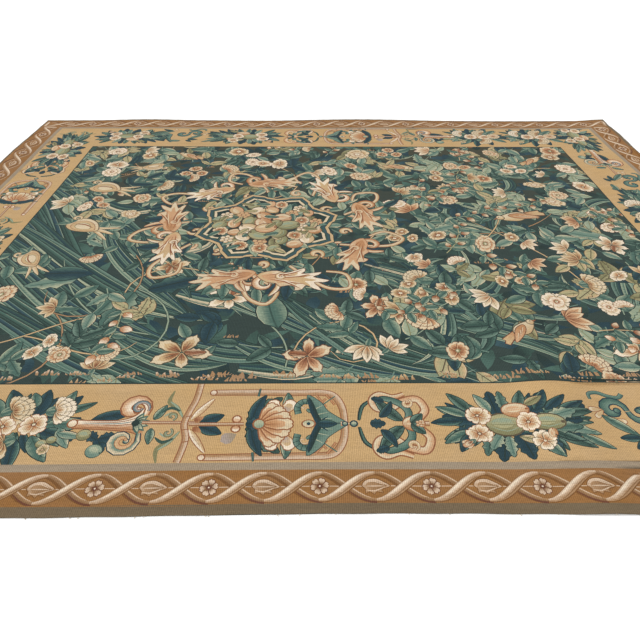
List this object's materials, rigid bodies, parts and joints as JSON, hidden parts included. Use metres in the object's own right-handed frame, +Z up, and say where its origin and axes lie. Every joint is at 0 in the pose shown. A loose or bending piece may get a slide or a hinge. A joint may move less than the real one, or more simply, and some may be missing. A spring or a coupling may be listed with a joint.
{
  "type": "flat-woven tapestry rug",
  "caption": "Large rectangular flat-woven wool rug lying on a floor, with a floral field, a wide scrolled border and a twisted-ribbon band.",
  "frame": {"origin": "on the floor under the middle of the rug", "axes": "+X along the long side, +Y away from the near long side, +Z up"},
  "size_m": [3.6715, 2.759, 0.0159],
  "materials": {
    "wool_cloth": "flat tapestry weave of dyed wool, matt, with fine ribs"
  },
  "bodies": {
    "root": {"rug_cloth": "wool_cloth"}
  },
  "joints": []
}
